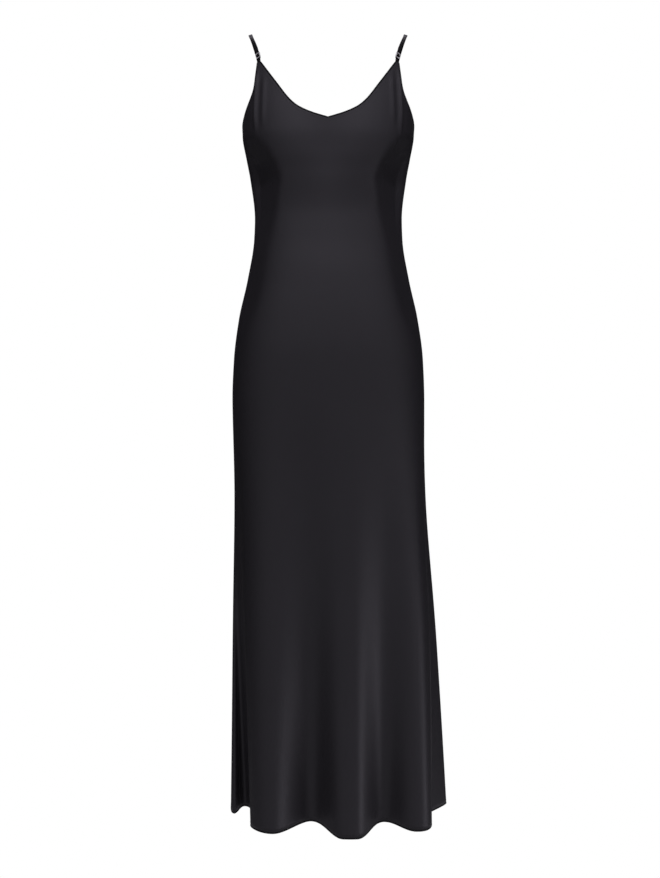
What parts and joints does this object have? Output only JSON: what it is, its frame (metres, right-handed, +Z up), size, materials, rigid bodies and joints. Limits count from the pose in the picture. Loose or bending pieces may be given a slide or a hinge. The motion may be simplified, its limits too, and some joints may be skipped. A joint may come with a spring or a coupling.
{
  "type": "slip dress",
  "caption": "Full-length V-neck slip dress in dark satin on thin adjustable shoulder straps, held in its worn hollow form, with a softly fluted hem.",
  "frame": {"origin": "the middle of the line between the two places where the straps rest on the shoulders, at the straps' underside", "axes": "+Z up, -Y out of the front of the dress, +X to the right when the front is seen from in front of it"},
  "size_m": [0.3751, 0.2995, 1.3519],
  "materials": {
    "satin": "near-black charcoal satin with a soft, low sheen",
    "strap_satin": "black narrow satin strap",
    "slider_metal": "polished silver-coloured metal"
  },
  "bodies": {
    "root": {"front_panel": "satin", "back_panel": "satin", "strap_left": "strap_satin", "strap_right": "strap_satin", "slider_left": "slider_metal", "slider_right": "slider_metal"}
  },
  "joints": []
}
